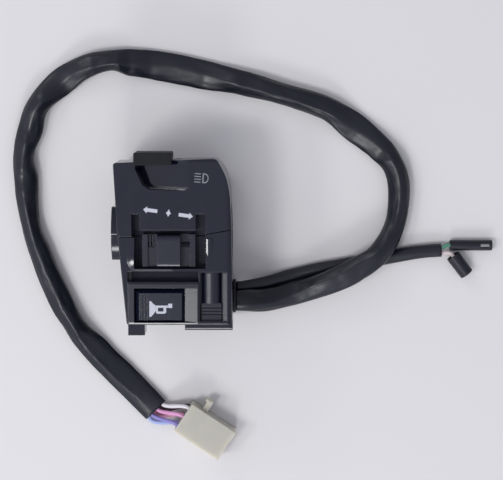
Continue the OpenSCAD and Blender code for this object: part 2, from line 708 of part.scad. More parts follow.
// Horn
module horn_button() {
    w = horn_w / 2 - run_gap;
    h = horn_h / 2 - run_gap;
    color("#1f2126") difference() {
        union() {
            intersection() {
                translate([horn_x, horn_y, 0]) rotate([90, 0, 90])
                    translate([0, 0, -w]) linear_extrude(2 * w)
                    polygon([[-h, horn_skirt], [-h, horn_top - 0.8], [-h + 0.6, horn_top],
                        [h - 1.6, horn_top], [h, horn_top - 2.2], [h, horn_skirt]]);
                translate([horn_x, horn_y + h, 0]) rotate([90, 0, 0]) linear_extrude(2 * h)
                    polygon([[-w, horn_skirt], [-w, horn_top - 1.2], [-w + 1.6, horn_top],
                        [w - 0.8, horn_top], [w, horn_top - 1.2], [w, horn_skirt]]);
            }
            // Stops that hold the button in its well
            for (s = [-1, 1]) translate([horn_x + s * w, horn_y, 0])
                box(-0.9, 0.9, -3, 5, horn_skirt, horn_stop - 0.1);
        }
        difference() {
            box(horn_x - w + horn_skin, horn_x + w - horn_skin, horn_low, horn_y + h - horn_skin,
                0, horn_roof);
            box(horn_x - 5.5, horn_x + 5.5, horn_high, far, 0, far);
        }
        box(horn_x - 5.5, horn_x + 5.5, horn_high, horn_y + h - 0.6, 0, horn_strip + 0.5);
        // Ribs at the left end of the button
        for (k = [0:2])
            box(horn_x - w + 1.8 + 1.1 * k, horn_x - w + 2.2 + 1.1 * k, horn_y - h - 1, horn_y + h - 1.8,
            horn_top - 0.3, far);
    }
}

module horn_bridge() {
    h = horn_h / 2 - run_gap;
    color("goldenrod") box(horn_x - 5.4, horn_x + 5.4, horn_high + 0.1, horn_y + h - 0.7, horn_strip,
        horn_skirt);
}

module horn_spring() {
    path = coil(coil_r, horn_base_top + horn_wire_d / 2 + 0.05, horn_roof - horn_wire_d / 2 - 0.05, 6);
    echo(horn_spring_gap = coil_gap(path, horn_wire_d));
    color("silver") translate([horn_x, (horn_low + horn_high) / 2, 0]) tube(path, horn_wire_d, 6);
}

module horn_base() {
    contact_y = horn_y + horn_h / 2 - run_gap - 1.8;
    color("#6b4a2b") difference() {
        box(horn_x - horn_w / 2, horn_post_x + 2.2, -bottom_y + wall + run_gap, horn_y + horn_shoulder,
            horn_base_top - horn_base_t, horn_base_top);
        for (y = horn_posts) cyl_z(0.9 + 0.1, horn_post_x, y, 0, far);
        for (s = [-1, 1]) cyl_z(0.85, horn_x + 4 * s, contact_y, 0, far);
    }
}

module horn_terminals() {
    contact_y = horn_y + horn_h / 2 - run_gap - 1.8;
    for (s = [-1, 1]) contact(horn_x + 4 * s, contact_y, horn_base_top, horn_base_t, contact_y - 2);
}

module horn_base_screws() {
    for (y = horn_posts) small_screw(horn_post_x, y, horn_base_top - horn_base_t, horn_base_t + horn_hold);
}

// Leads inside the casing, from each solder tag to the inner face of the grommet
lead_x = right_x - wall - 0.9;
lead_turn = -5;
lead_low = 5.3 - back_z;
lead_y = 6;
lead_run = 7;
function lead_end(exit, dy, dz) = [lead_x, exit[0] + dy, exit[1] + dz];

module lead(path, colour) {
    color(colour) tube(path, wire_d, 6, [0.3, 1, 0.2]);
}

module dimmer_leads() {
    ends = [[-1.6, -1.6], [0.4, -2.3], [2.2, -1]];
    tag_z = dim_base_top - dim_base_t - tag_l;
    for (k = [0:2]) {
        x = dim_x - 1 + dim_pitch * k;
        e = lead_end(main_exit, ends[k][0], ends[k][1]);
        lead([[x, dim_y - 1.6, tag_z], [x, dim_y - 1.6, tag_z - 1],
            [x + 0.6, dim_y - 2.4, lead_turn], [x + 2, dim_y - lead_y, lead_turn - lead_y],
            [x + 3.4, lead_y, lead_low], [x + 5, lead_y - 8, lead_low - 0.6],
            [x + lead_run, lead_y - 16, lead_low + 0.8], [x + lead_run + 1, lead_y - 22, lead_low + 4.8],
            e - [lead_run, -3.4, -1], e - [tag_l, 0, 0], e], "#4a6fb0");
    }
}

module turn_leads() {
    ends = [[-2.1, 0.7], [-0.4, 2.2], [1.6, 1.5]];
    tag_z = turn_base_top - turn_base_t - tag_l;
    for (k = [0:2]) {
        x = turn_x + turn_pitch * (k - 1);
        e = lead_end(main_exit, ends[k][0], ends[k][1]);
        lead([[x, turn_y - 2, tag_z], [x, turn_y - 2, tag_z - 1], [x + 1.2, turn_y - 6.4, 1.6],
            [x + 3, turn_y - 10, -1.6], e - [lead_run, -3, -2], e - [2.6, 0, 0], e], "#b0703a");
    }
}

module horn_leads() {
    y = horn_y + horn_h / 2 - run_gap - 3.8;
    tag_z = horn_base_top - horn_base_t - tag_l;
    for (k = [0:1]) {
        x = horn_x + 8 * k - 4;
        e = lead_end(branch_exit, 0, 2 * k - 1);
        lead([[x, y, tag_z], [x, y, tag_z - 1], [x + 0.6, y - 0.6, tag_z - 6], [x + 2, y - 1.2, tag_z - 12],
            [x + 5, e[1] - 0.4, e[2]], e - [4, 0, 0], e], "#7a4fa0");
    }
}

// Cords
module harness_sleeve() {
    color("#16171a") tube(sleeve_path, sleeve_d, 12);
}

module branch_sleeve() {
    color("#16171a") tube(branch_path, branch_d, 10);
}

// Point in the connector's own frame, u along it from its rear face, v across it and h over the bench
function plug_point(u, v, h) = [plug_at[0] + u * cos(plug_turn) - v * sin(plug_turn),
    plug_at[1] + u * sin(plug_turn) + v * cos(plug_turn), bench + h];
plug_mid = plug_h / 2;

module connector_wires() {
    n = len(sleeve_path);
    tip = sleeve_path[n - 1];
    t = direction(sleeve_path, n - 1);
    s = unit(cross([0, 0, 1], t));
    shades = [["#8fb4e0", "#c05a70", "#4c2a30"], ["#6a6fc0", "#e08fae", "#d8d8dc"]];
    for (j = [0:1], k = [0:2]) {
        a = tip + s * (k - 1) * wire_pitch + [0, 0, (j - 0.5) * (wire_d + 0.3)];
        b = plug_point(terminal_from, plug_cols[k], plug_mid + plug_rows[j]);
        u = plug_point(1, 0, 0) - plug_point(0, 0, 0);
        c = b - (terminal_from + 0.4) * u;
        color(shades[j][k])
            tube(concat([a], curve(a + 0.5 * t, a + 3 * t, c - 3 * u, c, 6), [b]), wire_d, 8);
    }
}

module connector_housing() {
    color("#dedbd0") translate([plug_at[0], plug_at[1], bench]) rotate([0, 0, plug_turn]) difference() {
        union() {
            box(0, plug_l, -plug_w / 2, plug_w / 2, 0.02, plug_h);
            // Latch on the upper edge
            box(latch_at, latch_at + latch_w, plug_w / 2 - 0.4, plug_w / 2 + latch_l,
                plug_mid - latch_w, plug_mid + latch_w);
            box(latch_at - 0.8, latch_at + latch_w, plug_w / 2 + latch_l - 1, plug_w / 2 + latch_l,
                plug_mid - latch_w, plug_mid + latch_w);
        }
        for (v = plug_cols, h = plug_rows)
            box(-1, plug_l + 1, v - plug_hole / 2, v + plug_hole / 2, plug_mid + h - plug_hole / 2,
                plug_mid + h + plug_hole / 2);
    }
}

module connector_terminals() {
    t = plug_hole / 2 - 0.1;
    color("goldenrod") translate([plug_at[0], plug_at[1], bench]) rotate([0, 0, plug_turn])
        for (v = plug_cols, h = plug_rows)
            box(terminal_from, plug_l - 1.5, v - t, v + t, plug_mid + h - t, plug_mid + h + t);
}

module branch_wires() {
    n = len(branch_path);
    tip = branch_path[n - 1];
    t = direction(branch_path, n - 1);
    s = unit(cross([0, 0, 1], t));
    a = tip + 1.1 * s + [0, 0, 0.3];
    b = [bullet_at[0], bullet_at[1], bench + 2.2];
    color("#2f8f4f") tube(concat([a], curve(a + 0.4 * t, a + 1.4 * t, b - [1.6, 0, 0], b - [0.4, 0, 0], 4),
        [b + [3, 0, 0]]), wire_d, 8);
    d = [cos(receptacle_turn), sin(receptacle_turn), 0];
    e = [receptacle_at[0], receptacle_at[1], receptacle_z];
    c = tip - 1.1 * s + [0, 0, 0.3];
    color("#d9c7c4") tube(concat([c], curve(c + 0.4 * t, c + 2 * t, e - 1.6 * d, e - 0.4 * d, 6),
        [e + 2 * d]), wire_d, 8);
}

module bullet_boot() {
    z = bench + 2.2;
    color("#16171a") difference() {
        cyl_x(2.1, bullet_at[0], bullet_at[0] + bullet_l, bullet_at[1], z);
        cyl_x(1.6, bullet_at[0] - 1, bullet_at[0] + bullet_l + 1, bullet_at[1], z);
        // Side opening near the end
        box(bullet_at[0] + bullet_l - 4.6, bullet_at[0] + bullet_l - 1.2,
            bullet_at[1] - 0.8, bullet_at[1] + 0.8,
            z, z + 5);
    }
}

module bullet_terminal() {
    z = bench + 2.2;
    color("goldenrod") cyl_x(1.55, bullet_at[0] + 3, bullet_at[0] + bullet_l - 0.6, bullet_at[1], z);
}

module receptacle_boot() {
    color("#16171a") translate([receptacle_at[0], receptacle_at[1], receptacle_z])
        rotate([0, 0, receptacle_turn]) difference() {
            cyl_x(2.75, 0, receptacle_l, 0, 0);
            cyl_x(2.3, -1, receptacle_l + 1, 0, 0);
        }
}

module receptacle_terminal() {
    color("goldenrod") translate([receptacle_at[0], receptacle_at[1], receptacle_z])
        rotate([0, 0, receptacle_turn]) difference() {
            cyl_x(2.25, 2, receptacle_l - 0.6, 0, 0);
            cyl_x(1.95, 3.4, receptacle_l, 0, 0);
        }
}

upper_casing();
lower_casing();
casing_screws();
cable_grommet();
dimmer_lever();
dimmer_bridge();
dimmer_detent_ball();
dimmer_detent_spring();
dimmer_base();
dimmer_terminals();
dimmer_base_screws();
turn_knob();
turn_carrier();
turn_bridge();
turn_detent_ball();
turn_detent_spring();
turn_base();
turn_terminals();
turn_base_screws();
horn_button();
horn_bridge();
horn_spring();
horn_base();
horn_terminals();
horn_base_screws();
dimmer_leads();
turn_leads();
horn_leads();
harness_sleeve();
connector_wires();
connector_housing();
connector_terminals();
branch_sleeve();
branch_wires();
bullet_boot();
bullet_terminal();
receptacle_boot();
receptacle_terminal();
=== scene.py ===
"""Left-hand handlebar switch cluster: the looks of its casing, controls, printed symbols and leads."""
import math

import bpy
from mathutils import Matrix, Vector, noise


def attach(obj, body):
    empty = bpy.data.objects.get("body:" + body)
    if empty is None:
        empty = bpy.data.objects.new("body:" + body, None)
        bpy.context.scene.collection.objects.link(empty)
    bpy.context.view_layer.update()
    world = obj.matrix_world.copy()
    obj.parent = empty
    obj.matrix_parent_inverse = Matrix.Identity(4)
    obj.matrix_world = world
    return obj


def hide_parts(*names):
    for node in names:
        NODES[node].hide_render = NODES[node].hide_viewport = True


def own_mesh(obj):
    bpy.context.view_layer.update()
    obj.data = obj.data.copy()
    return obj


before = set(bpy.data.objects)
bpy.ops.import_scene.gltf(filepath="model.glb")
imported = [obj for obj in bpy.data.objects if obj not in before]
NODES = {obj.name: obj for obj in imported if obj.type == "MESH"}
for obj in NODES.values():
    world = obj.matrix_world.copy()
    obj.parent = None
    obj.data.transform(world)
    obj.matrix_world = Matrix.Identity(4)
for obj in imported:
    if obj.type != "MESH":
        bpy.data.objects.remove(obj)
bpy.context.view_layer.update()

bl_info = {
    "name": "Handlebar Switch Cluster",
    "version": (1, 0, 0),
    "blender": (4, 5, 0),
    "location": "View3D > Sidebar > Switch",
    "description": "Builds the finishes, printed symbols and leads of a left-hand handlebar switch cluster",
    "category": "Object",
}

MM = 0.001
# Bench that the switch lies on, and the gap between it and what is on or under it, in millimetres
BENCH = -19.5
BENCH_GAP = 0.05
UP = Vector((0, 0, 1))


def linear(hex_colour):
    """An sRGB hex colour as linear red, green, blue and alpha."""
    parts = [int(hex_colour[i:i + 2], 16) / 255 for i in (1, 3, 5)]
    return tuple(c / 12.92 if c <= 0.04045 else ((c + 0.055) / 1.055) ** 2.4 for c in parts) + (1.0,)


def colour_setting(name, description, hex_colour):
    """A colour that a user may change."""
    return bpy.props.FloatVectorProperty(
        name=name, description=description, subtype="COLOR", size=4, min=0, max=1, default=linear(hex_colour)
    )


def length_setting(name, description, millimetres):
    """A length that a user may change, given in millimetres."""
    return bpy.props.FloatProperty(
        name=name, description=description, subtype="DISTANCE", unit="LENGTH", default=millimetres * MM
    )


class StageSettings(bpy.types.PropertyGroup):
    floor_colour: colour_setting("Floor", "Colour of the sheet that the switch lies on", "#e1dfde")
    camera_distance: length_setting("Camera distance", "From the camera to the sheet", 600)
    camera_tilt: bpy.props.FloatProperty(
        name="Camera tilt", description="Lean of the view from straight down", subtype="ANGLE",
        default=math.radians(6))
    lens: bpy.props.FloatProperty(name="Lens", description="Focal length in millimetres", default=109.5)
    key_power: bpy.props.FloatProperty(
        name="Window", description="Power of the window light, in watts", default=3.4)
    side_power: bpy.props.FloatProperty(
        name="Side", description="Power of the low light from the left, in watts", default=1.6)
    front_power: bpy.props.FloatProperty(
        name="Front", description="Power of the low light from the front, in watts", default=2.6)
    rear_power: bpy.props.FloatProperty(
        name="Rear", description="Power of the low light from the back, in watts", default=1.0)
    sky: bpy.props.FloatProperty(
        name="Room light", description="Strength of the light from all round", default=0.62)


class CasingSettings(bpy.types.PropertyGroup):
    gloss_black: colour_setting("Casing", "Gloss black of both casing halves", "#0b0e1f")
    thumb_black: colour_setting("Thumb-piece", "Matte black of the dimmer thumb-piece", "#0a0c11")
    button_black: colour_setting("Buttons", "Satin black of the knob and the horn button", "#0f1224")


class PrintSettings(bpy.types.PropertyGroup):
    white: colour_setting("White print", "Colour of the arrows and the horn symbol", "#c8cad4")
    grey: colour_setting("Grey print", "Colour of the main beam symbol", "#84868e")
    thickness: length_setting("Ink", "Height of the print over the face", 0.03)


class LeadSettings(bpy.types.PropertyGroup):
    sleeve_black: colour_setting("Sleeve", "Black of the vinyl sleeves", "#0a0d18")
    sleeve_girth: length_setting("Sleeve diameter", "Diameter of the main sleeve when it is round", 8.4)
    branch_girth: length_setting("Branch diameter", "Diameter of the branch sleeve", 4.9)
    wire: length_setting("Wire diameter", "Diameter of each wire over its insulation", 1.6)
    nylon: colour_setting("Connector", "Natural nylon of the connector", "#c6c2b4")


def settings(name):
    """The scene's settings of this name."""
    return getattr(bpy.context.scene, "switch_" + name)


# Materials

def add(tree, kind, inputs=None, **attributes):
    """Adds a node, sets its attributes, and sets each named input or links it to a socket."""
    node = tree.nodes.new(kind)
    for name, value in attributes.items():
        setattr(node, name, value)
    for name, value in (inputs or {}).items():
        if isinstance(value, bpy.types.NodeSocket):
            tree.links.new(value, node.inputs[name])
        else:
            node.inputs[name].default_value = value
    return node


def start_material(name):
    """A new material's node tree, its shader and its object coordinates in metres."""
    material = bpy.data.materials.new(name)
    material.use_nodes = True
    tree = material.node_tree
    shader = tree.nodes["Principled BSDF"]
    where = tree.nodes.new("ShaderNodeTexCoord").outputs["Object"]
    return material, tree, shader, where


def per_metre(millimetres):
    """Noise scale for a pattern of this size."""
    return 1 / (millimetres * MM)


def speckled(tree, where, size, low, high):
    """A value that wanders between two limits in patches of this size in millimetres."""
    cloud = add(tree, "ShaderNodeTexNoise", {"Vector": where, "Scale": per_metre(size), "Detail": 3.0})
    return add(tree, "ShaderNodeMapRange", {
        "Value": cloud.outputs["Fac"], "From Min": 0.3, "From Max": 0.7, "To Min": low, "To Max": high,
    }).outputs["Result"]


def speckled_roughness(tree, shader, where, size, low, high):
    """Roughness that wanders between two limits in patches of this size in millimetres."""
    tree.links.new(speckled(tree, where, size, low, high), shader.inputs["Roughness"])


def two_tone(tree, shader, where, size, first, second):
    """Base colour that wanders between two colours in patches of this size in millimetres."""
    cloud = add(tree, "ShaderNodeTexNoise", {"Vector": where, "Scale": per_metre(size), "Detail": 4.0})
    tone = add(tree, "ShaderNodeMix", {"Factor": cloud.outputs["Fac"], "A": first, "B": second},
               data_type="RGBA")
    tree.links.new(tone.outputs["Result"], shader.inputs["Base Color"])


def shaded(colour, factor):
    """A colour made darker or lighter by this factor."""
    return tuple(c * factor for c in colour[:3]) + (1.0,)


def inside(tree, where, centre, half):
    """One inside a box given by its centre and half sizes in millimetres, and nought outside it."""
    axes = add(tree, "ShaderNodeSeparateXYZ", {"Vector": where})
    result = None
    for axis, middle, reach in zip("XYZ", centre, half):
        test = add(tree, "ShaderNodeMath", {0: axes.outputs[axis], 1: middle * MM, 2: reach * MM},
                   operation="COMPARE").outputs["Value"]
        if result is not None:
            test = add(tree, "ShaderNodeMath", {0: result, 1: test}, operation="MULTIPLY").outputs["Value"]
        result = test
    return result


def grain(tree, shader, where, size, depth, detail=2.0, edge=0.0):
    """Raised grain of this size and depth over edges rounded by this radius, all in millimetres."""
    cloud = add(tree, "ShaderNodeTexNoise", {"Vector": where, "Scale": per_metre(size), "Detail": detail})
    bump = add(tree, "ShaderNodeBump", {
        "Height": cloud.outputs["Fac"], "Distance": depth * MM, "Strength": 1.0,
    })
    if edge:
        rounded = add(tree, "ShaderNodeBevel", {"Radius": edge * MM}, samples=8)
        tree.links.new(rounded.outputs["Normal"], bump.inputs["Normal"])
    tree.links.new(bump.outputs["Normal"], shader.inputs["Normal"])


# Duller and brighter parts of the casing's tool: centre, half sizes in millimetres, limits of roughness
TOOL_PATCHES = (
    ((-1.3, -4, 18.6), (13.9, 12.7, 3.9), 0.7, 0.8),
    ((14.2, -22, 20), (4.2, 9.2, 3), 0.3, 0.4),
    ((-3.4, -23.8, 23.75), (13, 7.2, 0.25), 0.3, 0.42),
    ((19.3, -22, 22.9), (0.95, 9.2, 0.45), 0.36, 0.44),
    ((7, -25, 23), (2.4, 6.6, 0.75), 0.268, 0.272),
    ((-3.8, 22, 18.9), (10.2, 5.4, 4.1), 0.05, 0.08),
    ((-6, 17.5, 18.9), (8, 0.8, 4.1), 0.26, 0.34),
    ((4.2, 17.5, 18.9), (2.2, 0.8, 4.1), 0.18, 0.24),
    ((-1.6, 2.6, 23), (11, 0.4, 0.4), 0.6, 0.7),
    ((-7.5, -12.1, 23.4), (7.5, 0.8, 0.5), 0.4, 0.44),
    ((6, -12.1, 23.4), (6, 0.8, 0.5), 0.74, 0.8),
    ((15.2, -13, 22.9), (4.6, 0.45, 0.7), 0.6, 0.7),
)
# Size of the speckle in them, in millimetres
PATCH_SPECKLE = 0.8


def gloss_moulded_abs(colour):
    # Polished tool, so a clear reflection with a faint orange peel and a little handling haze
    material, tree, shader, where = start_material("gloss moulded ABS")
    two_tone(tree, shader, where, 9, colour, shaded(colour, 1.25))
    roughness = speckled(tree, where, 5, 0.12, 0.19)
    for centre, half, low, high in TOOL_PATCHES:
        patch = {"Factor": inside(tree, where, centre, half), "A": roughness,
                 "B": speckled(tree, where, PATCH_SPECKLE, low, high)}
        roughness = add(tree, "ShaderNodeMix", patch).outputs["Result"]
    tree.links.new(roughness, shader.inputs["Roughness"])
    shader.inputs["IOR"].default_value = 1.54
    grain(tree, shader, where, 2.6, 0.012, 0.5, edge=0.35)
    return material


def matte_moulded_nylon(colour):
    # Spark-eroded tool, so a dull even skin of small pits
    material, tree, shader, where = start_material("spark-grained nylon")
    two_tone(tree, shader, where, 3, colour, shaded(colour, 0.8))
    speckled_roughness(tree, shader, where, 2, 0.52, 0.66)
    shader.inputs["IOR"].default_value = 1.5
    shader.inputs["Specular IOR Level"].default_value = 0.3
    # Real grit is about 0.1 mm and is drawn coarser so that it shows
    grain(tree, shader, where, 0.4, 0.04, edge=0.5)
    return material


def satin_moulded_abs(colour):
    # Lightly blasted tool, so highlights spread but keep their place
    material, tree, shader, where = start_material("satin moulded ABS")
    two_tone(tree, shader, where, 6, colour, shaded(colour, 1.2))
    speckled_roughness(tree, shader, where, 3, 0.255, 0.285)
    shader.inputs["IOR"].default_value = 1.54
    grain(tree, shader, where, 0.6, 0.015, edge=0.2)
    return material


def glossy_vinyl_tube(colour, name="glossy vinyl tube"):
    # Soft extruded vinyl, so broken streaks of light along its folds and a slightly greasy sheen
    material, tree, shader, where = start_material(name)
    two_tone(tree, shader, where, 14, colour, shaded(colour, 1.5))
    speckled_roughness(tree, shader, where, 7, 0.3, 0.44)
    shader.inputs["IOR"].default_value = 1.53
    grain(tree, shader, where, 2.6, 0.03, 3.0)
    return material


def extruded_insulation(name, colour):
    # Extruded vinyl, so an even colour with a soft shine and faint drawing marks
    material, tree, shader, where = start_material(name)
    two_tone(tree, shader, where, 2, colour, shaded(colour, 0.85))
    shader.inputs["Roughness"].default_value = 0.38
    shader.inputs["IOR"].default_value = 1.53
    grain(tree, shader, where, 0.8, 0.01)
    return material


def natural_nylon(colour):
    # Unfilled moulded nylon, so milky and a little see-through with yellowish depths
    material, tree, shader, where = start_material("natural nylon")
    two_tone(tree, shader, where, 5, colour, shaded(colour, 0.9))
    speckled_roughness(tree, shader, where, 4, 0.34, 0.5)
    shader.inputs["IOR"].default_value = 1.53
    shader.inputs["Subsurface Weight"].default_value = 0.9
    shader.inputs["Subsurface Radius"].default_value = (1.0, 0.9, 0.7)
    shader.inputs["Subsurface Scale"].default_value = 0.006
    grain(tree, shader, where, 1.6, 0.02, edge=0.5)
    return material


def pressed_phenolic_board():
    # Paper layers in resin, so brown with fine fibres along the sheet
    material, tree, shader, where = start_material("pressed phenolic board")
    two_tone(tree, shader, where, 0.8, linear("#6a4527"), linear("#4c2f19"))
    shader.inputs["Roughness"].default_value = 0.5
    shader.inputs["IOR"].default_value = 1.6
    grain(tree, shader, where, 0.5, 0.015)
    return material


def stamped_brass():
    # Rolled and stamped strip, so a warm metal with a slight tarnish
    material, tree, shader, where = start_material("stamped brass")
    two_tone(tree, shader, where, 2, linear("#d9b566"), linear("#b48c45"))
    shader.inputs["Metallic"].default_value = 1.0
    speckled_roughness(tree, shader, where, 1.5, 0.25, 0.4)
    grain(tree, shader, where, 0.5, 0.008)
    return material


def tinned_brass():
    # Dipped in tin, so a dull silver-grey metal with soft patches
    material, tree, shader, where = start_material("tinned brass")
    two_tone(tree, shader, where, 1.2, linear("#b4b6b6"), linear("#8e908f"))
    shader.inputs["Metallic"].default_value = 1.0
    speckled_roughness(tree, shader, where, 1, 0.3, 0.48)
    grain(tree, shader, where, 0.5, 0.01)
    return material


def zinc_plated_steel():
    # Bright zinc, so a cool grey metal with cloudy patches
    material, tree, shader, where = start_material("zinc-plated steel")
    two_tone(tree, shader, where, 1.5, linear("#c3c6ca"), linear("#9ea2a8"))
    shader.inputs["Metallic"].default_value = 1.0
    speckled_roughness(tree, shader, where, 1, 0.25, 0.42)
    grain(tree, shader, where, 0.4, 0.006)
    return material


def moulded_rubber():
    # Filled rubber, so a dull charcoal with a dusty bloom
    material, tree, shader, where = start_material("moulded rubber")
    two_tone(tree, shader, where, 3, linear("#17181a"), linear("#26272a"))
    shader.inputs["Roughness"].default_value = 0.68
    shader.inputs["IOR"].default_value = 1.52
    grain(tree, shader, where, 0.5, 0.03)
    return material


def pad_print(name, colour):
    # Thin ink film, so a flat colour with a slightly uneven cover
    material, tree, shader, where = start_material(name)
    two_tone(tree, shader, where, 0.7, colour, shaded(colour, 0.86))
    shader.inputs["Roughness"].default_value = 0.5
    grain(tree, shader, where, 0.4, 0.006)
    return material


def paper_sheet(colour):
    # Smooth uncoated sheet, so an even pale ground that takes a soft shadow
    material, tree, shader, where = start_material("paper sheet")
    two_tone(tree, shader, where, 120, colour, shaded(colour, 0.985))
    shader.inputs["Roughness"].default_value = 0.9
    shader.inputs["Specular IOR Level"].default_value = 0.2
    return material


# Meshes

def link(obj):
    """Puts an object into the scene."""
    bpy.context.scene.collection.objects.link(obj)
    return obj


def mesh_object(name, vertices, faces, material, smooth=True):
    """A mesh from points in millimetres."""
    mesh = bpy.data.meshes.new(name)
    mesh.from_pydata([tuple(c * MM for c in v) for v in vertices], [], faces)
    mesh.validate()
    if smooth:
        mesh.shade_smooth()
    mesh.materials.append(material)
    return link(bpy.data.objects.new(name, mesh))


def dress(node, material):
    """Gives a solid its finish."""
    node.data.materials.clear()
    node.data.materials.append(material)


# Rounded edges: points within this reach in millimetres are one, faces are flat up to the first angle in
# degrees, and edges are sharp from the second
WELD_REACH = 0.004
FLAT_ANGLE = 0.4
SHARP_ANGLE = 50


def soften(node, width):
    """Rounds the sharp edges of a solid by this width in metres."""
    weld = node.modifiers.new("weld", "WELD")
    weld.merge_threshold = WELD_REACH * MM
    flat = node.modifiers.new("flat faces", "DECIMATE")
    flat.decimate_type = "DISSOLVE"
    flat.angle_limit = math.radians(FLAT_ANGLE)
    edge = node.modifiers.new("rounded edges", "BEVEL")
    edge.width = width
    edge.segments = 2
    edge.limit_method = "ANGLE"
    edge.angle_limit = math.radians(SHARP_ANGLE)
    edge.use_clamp_overlap = False
    edge.miter_outer = "MITER_ARC"
    shading = node.modifiers.new("shading", "WEIGHTED_NORMAL")
    shading.keep_sharp = False


# Step along a route in millimetres, the least last step as a share of it, and curve steps between points
ROUTE_STEP = 1.0
LAST_STEP = 0.3
CURVE_STEPS = 24


def smooth_route(points):
    """Points a step apart on a smooth curve through the route's points, in millimetres."""
    points = [Vector(p) for p in points]
    fine = []
    for i in range(len(points) - 1):
        a, b, c, d = points[max(i - 1, 0)], points[i], points[i + 1], points[min(i + 2, len(points) - 1)]
        for k in range(CURVE_STEPS):
            t = k / CURVE_STEPS
            fine.append(0.5 * (2 * b + (c - a) * t + (2 * a - 5 * b + 4 * c - d) * t * t
                               + (3 * b - a - 3 * c + d) * t ** 3))
    fine.append(points[-1])
    spaced = [fine[0]]
    left = ROUTE_STEP
    for a, b in zip(fine, fine[1:]):
        span = (b - a).length
        while span >= left:
            a = a + (b - a) * (left / span)
            span -= left
            spaced.append(a)
            left = ROUTE_STEP
        left -= span
    if (spaced[-1] - fine[-1]).length > LAST_STEP * ROUTE_STEP:
        spaced.append(fine[-1])
    else:
        spaced[-1] = fine[-1]
    return spaced


def between(stations, s):
    """The values of a list of stations (place, value, value...) at a place, eased from one to the next."""
    if s <= stations[0][0]:
        return stations[0][1:]
    for low, high in zip(stations, stations[1:]):
        if s <= high[0]:
            t = (s - low[0]) / (high[0] - low[0])
            t = t * t * (3 - 2 * t)
            return tuple(a + (b - a) * t for a, b in zip(low[1:], high[1:]))
    return stations[-1][1:]


# Heights of the sleeves' middles where they lie on the bench, in millimetres
LIE = -15.65
BRANCH_LIE = -17.05
# Route of the main sleeve, in millimetres, as in the solids
SLEEVE_ROUTE = [
    (22.8, -27.9, -8.5), (26.8, -27.9, -8.5), (34, -28.1, -10.9), (43, -27, -13.4), (51, -24.6, -13),
    (58, -21.8, -11.4), (65, -18.6, -10.2), (71, -15, -10), (76, -11.4, -10.8), (80, -7, -12.6),
    (83, -1.6, -14.6), (85, 4, LIE), (86, 11, LIE), (85.6, 18, LIE), (83.6, 24, LIE), (78.6, 31, LIE),
    (69, 38.6, LIE), (57, 46, LIE), (40, 51.6, LIE), (24, 55.8, LIE), (9, 59, LIE), (-7, 62.2, LIE),
    (-17, 63.4, LIE), (-26, 63.4, LIE), (-35, 61.4, LIE), (-45, 55, LIE), (-53, 46.4, LIE), (-57, 37, LIE),
    (-59, 27, LIE), (-59, 18, LIE), (-58, 8.4, LIE), (-56.2, -1, LIE), (-54, -10, LIE), (-50.4, -20, LIE),
    (-45.6, -30.6, LIE), (-41, -38, LIE), (-37, -44, LIE), (-31, -51, LIE), (-24.6, -57.6, LIE),
    (-17.5, -64.9, LIE), (-9.4, -73.2, LIE),
]
# Half widths of the flattened sleeve along its route: place, left and right of the route
SLEEVE_WIDTHS = [
    (0, 3.9, 3.9), (8, 4.4, 4.2), (24, 4.8, 4.0), (48, 4.8, 4.8), (64, 3.8, 4.8), (72, 3.4, 4.7),
    (84, 4.0, 4.3), (97, 4.0, 4.4), (106, 5.4, 4.8), (118, 5.8, 5.4), (132, 4.1, 4.9), (150, 4.0, 4.4),
    (166, 4.4, 5.0), (182, 5.3, 5.9), (198, 5.5, 5.9), (209, 5.0, 5.3), (217, 3.0, 4.8), (227, 4.0, 5.1),
    (238, 4.7, 6.0), (250, 3.5, 5.2), (260, 4.8, 4.8), (270, 3.5, 4.4), (279, 5.0, 4.2), (299, 3.2, 3.9),
    (310, 4.7, 3.7), (330, 5.2, 4.0), (339, 4.2, 3.9), (355, 6.0, 4.5), (374, 6.3, 4.7), (387, 6.0, 4.7),
]
# Route of the branch sleeve, in millimetres, as in the solids
BRANCH_ROUTE = [
    (22.8, -23.4, -13.8), (25.8, -23.4, -13.8), (35, -21.8, -15.4), (45, -19.2, BRANCH_LIE),
    (56, -16.6, BRANCH_LIE), (67, -14.6, BRANCH_LIE), (78, -12.8, BRANCH_LIE), (88, -10.9, BRANCH_LIE),
    (96, -9.7, BRANCH_LIE), (103, -9.2, BRANCH_LIE),
]
# Points round a sleeve
SIDES = 56
# Cut end of a sleeve: the wall's inner edge and the bore's end, as shares of the outline and of the depth
CUT_END = ((0.88, 0.0), (0.82, 1.0))
# Depth of the bore in steps of the route
BORE_STEPS = 4


def swept_sleeve(name, route, section, material):
    """A tube along a route, with its outline at each place and angle from section, and a hollow cut end."""
    vertices, faces = [], []
    place = 0.0
    for i, point in enumerate(route):
        if i:
            place += (point - route[i - 1]).length
        ahead = (route[min(i + 1, len(route) - 1)] - route[max(i - 1, 0)]).normalized()
        side = UP.cross(ahead).normalized()
        up = ahead.cross(side)
        for k in range(SIDES):
            across, height = section(place, 2 * math.pi * k / SIDES)
            vertex = point + side * across + up * height
            vertex.z = max(vertex.z, BENCH + BENCH_GAP)
            vertices.append(vertex)
    # Cut end: the wall turns in and runs back up the bore
    last = vertices[-SIDES:]
    centre = sum(last, Vector()) / SIDES
    back = route[-1 - BORE_STEPS] - route[-1]
    for share, depth in CUT_END:
        vertices += [centre + (v - centre) * share + back * depth for v in last]
    rings = len(route) + len(CUT_END)
    for i in range(rings - 1):
        for k in range(SIDES):
            a, b = i * SIDES + k, i * SIDES + (k + 1) % SIDES
            faces.append((a, b, b + SIDES, a + SIDES))
    faces.append([(rings - 1) * SIDES + k for k in range(SIDES)])
    faces.append(list(reversed(range(SIDES))))
    return mesh_object(name, vertices, faces, material)


